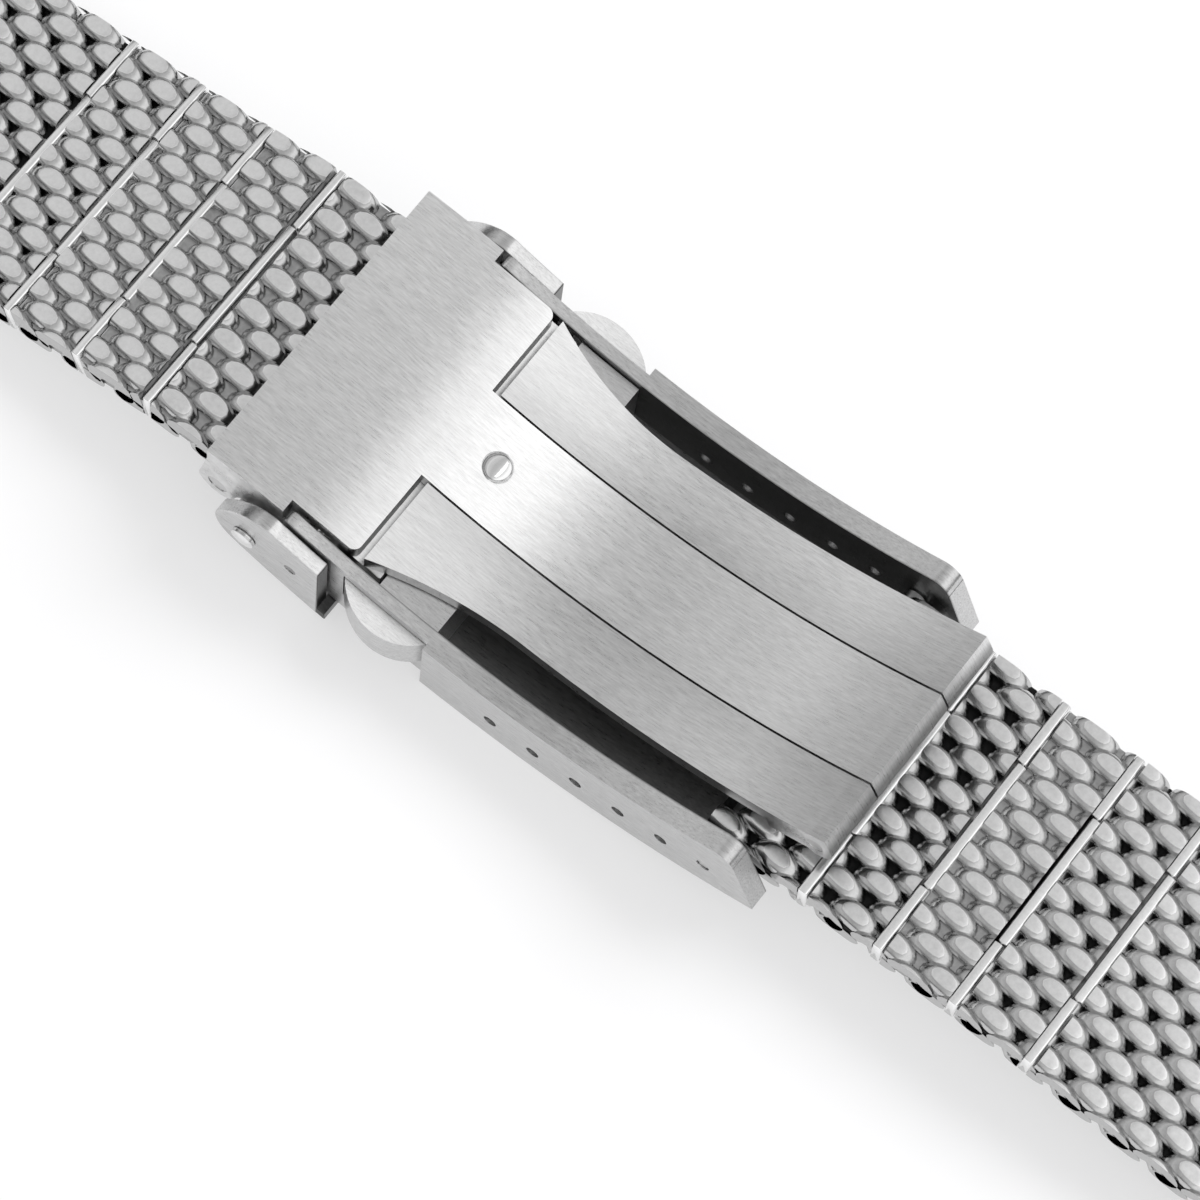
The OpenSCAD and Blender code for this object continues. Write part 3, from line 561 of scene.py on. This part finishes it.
# A removable link. The first one of each side ends in a knuckle round its pin instead of a seam
def link_weave(body):
    segment = SEGMENTS[body]
    first, pitch, kind = LINK_ROWS[body]
    side = body.split("_")[0]
    low = BAR_RIGHT - UNDER_BAR
    high = segment.length + BAR_LEFT - SEAM_GAP[side]
    if body == "cover_link_1":
        low = -HALF_T
    if body == "tongue_link_1":
        high = segment.length + HALF_T
    rows = []
    along = first
    while along - ROW_REACH < high - LINK_SLIVER:
        if along + ROW_REACH > low + LINK_SLIVER:
            rows.append((along, kind))
        along += pitch
        kind = 1 - kind
    vertices, faces = weave(side, rows, low, high)
    weave_piece(body, vertices, faces)
    filled = body in FILLED_LINKS
    core(body, low, high, FILL_TOP if filled else CORE_TOP, FILLER if filled else SHADE_CORE)


# Where each group of a long mesh begins and ends along it, from left to right
def group_spans(side):
    bodies = bodies_of(side, "mesh", MESH_GROUPS)
    if side == "tongue":
        bodies.reverse()
    spans = []
    begin = 0.0
    for body in bodies:
        end = begin + SEGMENTS[body].length
        spans.append((body, begin, end))
        begin = end
    return spans


# The long mesh: rows at an even pitch over its five groups, each row on the group that it is in
def long_weave(side):
    spans = group_spans(side)
    total = spans[-1][2]
    first, kind = FIRST_MESH_ROW[side]
    if side == "cover":
        low, high = BAR_RIGHT - UNDER_BAR, total - TUBE_ROOM
        along, step = first, MESH_PITCH
    else:
        low, high = TUBE_ROOM, total + BAR_LEFT - SEAM_GAP[side]
        along, step = total - first, -MESH_PITCH
    rows = {body: [] for body, begin, end in spans}
    while low - ROW_REACH + MESH_SLIVER < along < high + ROW_REACH - MESH_SLIVER:
        for body, begin, end in spans:
            inside = begin <= along < end
            before = along < 0 and begin == 0
            after = along >= total and end == total
            if inside or before or after:
                rows[body].append((along - begin, kind))
        along += step
        kind = 1 - kind
    for body, begin, end in spans:
        cut_low = low - begin if begin == 0 else None
        cut_high = high - begin if end == total else None
        vertices, faces = weave(side, rows[body], cut_low, cut_high)
        weave_piece(body, vertices, faces)
        core_low = 0 if cut_low is None else cut_low
        core_high = end - begin if cut_high is None else cut_high
        core(body, core_low + CORE_GAP, core_high - CORE_GAP, CORE_TOP, SHADE_CORE)


# A bar with a softly rounded top and bottom, between two places across the band
def bar_mesh(x0, x1, y0, y1):
    profile = []
    for side_x, side_z, start in ((1, 1, 0), (-1, 1, 90), (-1, -1, 180), (1, -1, 270)):
        round_r = BAR_ROUND_RIGHT if side_x > 0 else BAR_ROUND_LEFT
        cx = (x1 - round_r) if side_x > 0 else (x0 + round_r)
        cz = side_z * (BAR_TOP - round_r)
        for k in range(CORNER_STEPS + 1):
            a = math.radians(start + k * 90 / CORNER_STEPS)
            profile.append((cx + round_r * math.cos(a), cz + round_r * math.sin(a)))
    n = len(profile)
    middle = (x0 + x1) / 2
    vertices = []
    for y, shrink in ((y0, BAR_END), (y0 + BAR_END, 0), (y1 - BAR_END, 0), (y1, BAR_END)):
        for x, z in profile:
            vertices.append((x - shrink * np.sign(x - middle), y, z - shrink * np.sign(z)))
    faces = [tuple(range(n)), tuple(reversed(range(3 * n, 4 * n)))]
    for ring in range(3):
        for j in range(n):
            k = (j + 1) % n
            faces.append((ring * n + k, ring * n + j, (ring + 1) * n + j, (ring + 1) * n + k))
    return vertices, faces


# The bars along a seam: the outer quarters belong to one link and the middle half to the other
def seam_bars(owner, at_right, outer):
    segment = SEGMENTS[owner]
    x = segment.length if at_right else 0.0
    quarter = HALF_W / 2
    if outer:
        spans = [(-HALF_W, -quarter - JOG_GAP), (quarter + JOG_GAP, HALF_W)]
        shift = -BAR_JOG
    else:
        spans = [(-quarter, quarter)]
        shift = 0.0
    left = TONGUE_BAR_LEFT if owner.startswith("tongue") else BAR_LEFT
    vertices, faces = [], []
    for y0, y1 in spans:
        more, more_faces = bar_mesh(x + left + shift, x + BAR_RIGHT + shift, y0, y1)
        faces += [[i + len(vertices) for i in face] for face in more_faces]
        vertices += more
    piece = make_object(owner + ("_outer_bars" if outer else "_middle_bar"),
                        segment.place(vertices), faces, BAR)
    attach(piece, owner)


def all_mesh():
    for body in LINK_ROWS:
        link_weave(body)
    for side in ("tongue", "cover"):
        long_weave(side)
        at_right = side == "cover"
        order = bodies_of(side, "link", LINKS) + [side + "_mesh_1"]
        for inner, outer in zip(order, order[1:]):
            seam_bars(inner, at_right, True)
            seam_bars(outer, not at_right, False)


def soft_edges(piece, width):
    bevel = piece.modifiers.new("soft edges", "BEVEL")
    bevel.width = width * MM
    bevel.segments = 2
    bevel.limit_method = "ANGLE"
    bevel.angle_limit = math.radians(SOFT_ANGLE)
    bevel.use_clamp_overlap = False
    bevel.harden_normals = True


# Carried-over nodes get small bevels and a finish, most of them with painted light and shade in their colour
def soften(node, width, material):
    piece = nodes[node]
    piece.data.materials.clear()
    piece.data.materials.append(material)
    merge = piece.modifiers.new("flat faces", "DECIMATE")
    merge.decimate_type = "DISSOLVE"
    merge.angle_limit = math.radians(SAME_FACE_ANGLE)
    soft_edges(piece, width)


def finish_nodes():
    finishes_and_shade = {"clasp_cover": COVER, "lock_housing": SIDE, "fork_blade": FORK, "tongue_blade": TONGUE,
                "push_button_near": SIDE, "push_button_far": SIDE}
    for node, material in finishes_and_shade.items():
        soften(node, EDGE_R, material)
    polished = ("latch_post", "flap_rivets")
    for node in polished:
        soften(node, SMALL_EDGE_R, POLISHED)
    for name, piece in nodes.items():
        if name not in finishes_and_shade and name not in polished:
            piece.data.materials.clear()
            piece.data.materials.append(PIN)


def on_curve(radius, x):
    return x, CURVE_Z - math.sqrt(radius * radius - x * x)


def along_curve(radius, x_from, x_to, steps=CURVE_STEPS):
    return [on_curve(radius, x_from + (x_to - x_from) * k / steps) for k in range(steps + 1)]


def round_about(x, z, radius, start, end, steps):
    turns = [math.radians(start + (end - start) * k / steps) for k in range(steps + 1)]
    return [(x + radius * math.cos(a), z + radius * math.sin(a)) for a in turns]


# The ear from the side: along its top edge, down the round end, and back along the plate
def ear_outline():
    outline = along_curve(EAR_TOP_R, EAR_END_X, EAR_TURN_X)
    end = round_about(RIVET.x, RIVET.z, EAR_ROUND, EAR_ROUND_FROM, EAR_ROUND_TO, EAR_STEPS)
    corners = (outline[-1], (RIVET.x, RIVET.z + EAR_PEAK), end[0])
    for k in range(1, EAR_STEPS):
        t = k / EAR_STEPS
        weights = ((1 - t) ** 2, 2 * t * (1 - t), t * t)
        outline.append(tuple(sum(w * c[i] for w, c in zip(weights, corners)) for i in (0, 1)))
    return outline + end + along_curve(EAR_BOTTOM_R, RIVET.x - EAR_LOW_BACK, EAR_END_X)


# An outline that runs clockwise or anticlockwise, drawn in by a distance
def drawn_in(outline, distance):
    points = [Vector(p) for p in outline]
    n = len(points)
    area = sum(points[i - 1].x * points[i].y - points[i].x * points[i - 1].y for i in range(n))
    turn = math.copysign(1, area)
    moved = []
    for i in range(n):
        before = (points[i] - points[i - 1]).normalized()
        after = (points[(i + 1) % n] - points[i]).normalized()
        inward = Vector((-before.y - after.y, before.x + after.x)) * turn
        inward = inward.normalized() / max(0.5, inward.length / 2)
        moved.append(tuple(points[i] + inward * distance))
    return moved


# A strip of faces between two closed rings of vertices
def strip(bm, ring, following):
    n = len(ring)
    faces = []
    for i in range(n):
        j = (i + 1) % n
        faces.append(bm.faces.new((ring[i], ring[j], following[j], following[i])))
    return faces


# A flat face across Y with a round dish in it, whose faces are painted dark as shade
def dished_face(bm, outer, y_face, outward, dish):
    x0, z0, radius, depth = dish
    turns = []
    for degrees in DIMPLE_TURNS:
        a = math.radians(degrees)
        y = y_face - outward * depth * math.sin(a)
        points = round_about(x0, z0, radius * math.cos(a), 0, 360 - 360 / DIMPLE_SIDES, DIMPLE_SIDES - 1)
        turns.append([bm.verts.new((x, y, z)) for x, z in points])
    dish_faces = [bm.faces.new(turns[-1])]
    for ring, deeper in zip(turns, turns[1:]):
        dish_faces += strip(bm, ring, deeper)
    for face in dish_faces:
        face.material_index = 1
    rim = []
    for ring in (outer, turns[0]):
        rim += [bm.edges.get((ring[i], ring[(i + 1) % len(ring)])) for i in range(len(ring))]
    bmesh.ops.triangle_fill(bm, edges=rim, use_beauty=True, normal=(0, outward, 0))


# A plate across Y drawn from the side, with rounded edges, and a dish in its outer face if one is given
def plate(bm, outline, y_inner, y_outer, dish=None):
    outward = math.copysign(1, y_outer - y_inner)
    sides = []
    for y, toward in ((y_inner, 1), (y_outer, -1)):
        rings = []
        for degrees in EDGE_TURNS:
            a = math.radians(degrees)
            at = y + toward * outward * EDGE_R * (1 - math.sin(a))
            inset = EDGE_R * (1 - math.cos(a))
            rings.append([bm.verts.new((x, at, z)) for x, z in drawn_in(outline, inset)])
        sides.append(rings)
    rings = sides[0][::-1] + sides[1]
    for ring, following in zip(rings, rings[1:]):
        strip(bm, ring, following)
    bm.faces.new(rings[0])
    if dish is None:
        bm.faces.new(rings[-1])
    else:
        dished_face(bm, rings[-1], y_outer, outward, dish)


# Makes an object of faces with two materials, the second one the painted shade in the dishes
def finish_bmesh(bm, name, material):
    bmesh.ops.recalc_face_normals(bm, faces=bm.faces[:])
    finishes_and_shade = [f.material_index for f in bm.faces]
    vertices, faces = arrays(bm)
    bm.free()
    piece = make_object(name, vertices, faces, material)
    piece.data.materials.append(DISH_SHADE)
    piece.data.polygons.foreach_set("material_index", finishes_and_shade)
    piece.data.set_sharp_from_angle(angle=math.radians(PLATE_ANGLE))
    weighted = piece.modifiers.new("flat faces stay flat", "WEIGHTED_NORMAL")
    weighted.keep_sharp = True
    return piece


# The safety flap: two ears with a plate between them
def flap():
    bm = bmesh.new()
    for side in (-1, 1):
        plate(bm, ear_outline(), side * EAR_INNER_Y, side * EAR_OUTER_Y, DIMPLE)
    bottom = along_curve(EAR_BOTTOM_R, RIVET.x, EAR_END_X + PLATE_PAST)
    top = along_curve(EAR_BOTTOM_R - EAR_PLATE_T, RIVET.x, EAR_END_X + PLATE_PAST)
    plate(bm, bottom + top[::-1], -EAR_OUTER_Y + PLATE_INSET, EAR_OUTER_Y - PLATE_INSET)
    piece = finish_bmesh(bm, "flap_with_ears", FLAP)
    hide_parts("safety_flap")
    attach(piece, "flap")
    return piece


# The walls' rims start square to the blades, with a round corner beside the notch in the head
def wall_ends():
    x, z = on_curve(RIM_R, RAIL_START_X + RAIL_ROUND)
    outline = round_about(x, z - RAIL_ROUND, RAIL_ROUND, 90, 180, RAIL_CORNER_STEPS)
    outline += [(RAIL_START_X, RIVET.z), (RAIL_END_X, RIVET.z)]
    outline += along_curve(RIM_R, RAIL_END_X, RAIL_START_X + RAIL_ROUND, RAIL_STEPS)[:-1]
    bm = bmesh.new()
    for side in (-1, 1):
        plate(bm, outline, side * (WALL_Y[0] + WALL_PROUD), side * (WALL_Y[1] + WALL_PROUD))
    piece = finish_bmesh(bm, "cover_wall_ends", COVER)
    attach(piece, "cover")


# A polished dome on a flat face: where, which way it stands out, its radius and height
def dome(name, body, at, out, radius, height):
    steps, sides = DOME_STEPS, DOME_SIDES
    at, out = Vector(at), Vector(out)
    first = out.orthogonal().normalized()
    second = out.cross(first)
    vertices = []
    for k in range(steps):
        a = k / steps * math.pi / 2
        for j in range(sides):
            b = 2 * math.pi * j / sides
            flat = first * math.cos(b) + second * math.sin(b)
            vertices.append(at + flat * radius * math.cos(a) + out * height * math.sin(a))
    vertices.append(at + out * height)
    faces = [tuple(reversed(range(sides)))]
    for k in range(steps - 1):
        for j in range(sides):
            i = (j + 1) % sides
            faces.append((k * sides + j, k * sides + i, (k + 1) * sides + i, (k + 1) * sides + j))
    top = (steps - 1) * sides
    faces += [(top + j, top + (j + 1) % sides, steps * sides) for j in range(sides)]
    piece = make_object(name, vertices, faces, POLISHED)
    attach(piece, body)
    return piece


def domes():
    low, high = box_mm("latch_post")
    radius, height, sunk = STUD_DOME
    at = ((low.x + high.x) / 2, 0, high.z - sunk)
    made = [dome("stud_dome", "tongue", at, (0, 0, 1), radius, height)]
    rivet_y = box_mm("flap_rivets")[1].y
    radius, height, sunk = RIVET_DOME
    for side, name in ((-1, "near"), (1, "far")):
        at = (RIVET.x, side * (rivet_y - sunk), RIVET.z)
        made.append(dome("rivet_dome_" + name, "cover", at, (0, side, 0), radius, height))
    return made


def camera():
    data = bpy.data.cameras.new("camera")
    data.lens = CAMERA_LENS
    data.sensor_width = CAMERA_SENSOR
    data.clip_start, data.clip_end = CAMERA_REACH
    viewer = bpy.data.objects.new("camera", data)
    right = CAMERA_RIGHT.normalized()
    up = (CAMERA_UP - right * CAMERA_UP.dot(right)).normalized()
    back = right.cross(up)
    turn = Matrix((right, up, back)).transposed()
    viewer.matrix_world = Matrix.Translation(CAMERA_AT * MM) @ turn.to_4x4()
    bpy.context.scene.collection.objects.link(viewer)
    bpy.context.scene.camera = viewer


# 1 for rays from the camera, also by way of metal or glass, and 0 for the light on the object
def seen_share(tree):
    paths = tree.nodes.new("ShaderNodeLightPath")
    total = paths.outputs["Is Camera Ray"]
    for name in ("Is Glossy Ray", "Is Transmission Ray"):
        add = tree.nodes.new("ShaderNodeMath")
        add.operation = "ADD"
        add.use_clamp = True
        link(tree, total, add.inputs[0])
        link(tree, paths.outputs[name], add.inputs[1])
        total = add.outputs[0]
    return total


def floor():
    bpy.ops.mesh.primitive_plane_add(size=FLOOR_SIZE, location=(0, 0, -FLOOR_DROP))
    ground = bpy.context.object
    ground.name = "floor"
    material, tree, shader = new_material("pale_floor")
    shader.inputs["Base Color"].default_value = FLOOR_COLOUR
    shader.inputs["Roughness"].default_value = 0.9
    shader.inputs["Specular IOR Level"].default_value = 0.1
    glow = tree.nodes.new("ShaderNodeEmission")
    glow.inputs["Color"].default_value = (1, 1, 1, 1)
    blend = tree.nodes.new("ShaderNodeMixShader")
    share = tree.nodes.new("ShaderNodeMath")
    share.operation = "MULTIPLY"
    share.inputs[1].default_value = FLOOR_GLOW
    link(tree, seen_share(tree), share.inputs[0])
    link(tree, share.outputs[0], blend.inputs[0])
    link(tree, shader.outputs[0], blend.inputs[1])
    link(tree, glow.outputs[0], blend.inputs[2])
    link(tree, blend.outputs[0], tree.nodes["Material Output"].inputs["Surface"])
    ground.data.materials.append(material)
    return ground


def area_light(name, at, towards, size, power):
    data = bpy.data.lights.new(name, "AREA")
    data.shape = "RECTANGLE"
    data.size, data.size_y = size
    data.energy = power
    lamp = bpy.data.objects.new(name, data)
    lamp.location = at
    lamp.rotation_euler = (Vector(towards) - Vector(at)).to_track_quat("-Z", "Y").to_euler()
    lamp.visible_camera = False
    bpy.context.scene.collection.objects.link(lamp)
    return lamp


# A lamp that is flagged off the rest: it lights only these objects
def only_for(lamp, objects):
    lit = bpy.data.collections.new(lamp.name + "_lit")
    for piece in objects:
        lit.objects.link(piece)
    lamp.light_linking.receiver_collection = lit


# The studio's walls light the band, and the camera sees plain white behind the floor
def world_light():
    world = bpy.data.worlds.new("studio")
    bpy.context.scene.world = world
    world.use_nodes = True
    tree = world.node_tree
    coords = tree.nodes.new("ShaderNodeTexCoord")
    parts = tree.nodes.new("ShaderNodeSeparateXYZ")
    link(tree, coords.outputs["Generated"], parts.inputs["Vector"])
    angle = tree.nodes.new("ShaderNodeMath")
    angle.operation = "ARCTAN2"
    link(tree, parts.outputs["X"], angle.inputs[0])
    link(tree, parts.outputs["Z"], angle.inputs[1])
    share = ramp(tree, angle.outputs[0], 0, 1, -math.pi / 2, math.pi / 2)
    walls = tree.nodes.new("ShaderNodeValToRGB")
    stops = walls.color_ramp.elements
    while len(stops) < len(STUDIO):
        stops.new(0.5)
    for stop, (degrees, level) in zip(stops, STUDIO):
        stop.position = (degrees + 90) / 180
        stop.color = (level, level, level, 1)
    link(tree, share, walls.inputs["Fac"])
    background = tree.nodes["Background"]
    link(tree, walls.outputs["Color"], background.inputs["Color"])
    strength = ramp(tree, parts.outputs["Z"], HORIZON, 1, HORIZON_FROM, HORIZON_TO)
    link(tree, strength, background.inputs["Strength"])
    behind = tree.nodes.new("ShaderNodeBackground")
    behind.inputs["Color"].default_value = (1, 1, 1, 1)
    paths = tree.nodes.new("ShaderNodeLightPath")
    seen = tree.nodes.new("ShaderNodeMixShader")
    link(tree, paths.outputs["Is Camera Ray"], seen.inputs[0])
    link(tree, background.outputs[0], seen.inputs[1])
    link(tree, behind.outputs[0], seen.inputs[2])
    link(tree, seen.outputs[0], tree.nodes["World Output"].inputs["Surface"])


camera()
all_mesh()
finish_nodes()
flap_piece = flap()
wall_ends()
dome_pieces = domes()
ground = floor()
world_light()

# A small softbox close over the clasp, and a lamp for the soft shadow
softbox = area_light("softbox", *SOFTBOX)
clasp = ["fork_blade", "tongue_blade", "push_button_near", "push_button_far", "flap_rivets", "latch_post"]
only_for(softbox, [nodes[name] for name in clasp] + [flap_piece] + dome_pieces)
shadow_light = area_light("shadow_light", *SHADOW_LAMP)
only_for(shadow_light, [ground])

bpy.context.scene.view_settings.view_transform = "Standard"
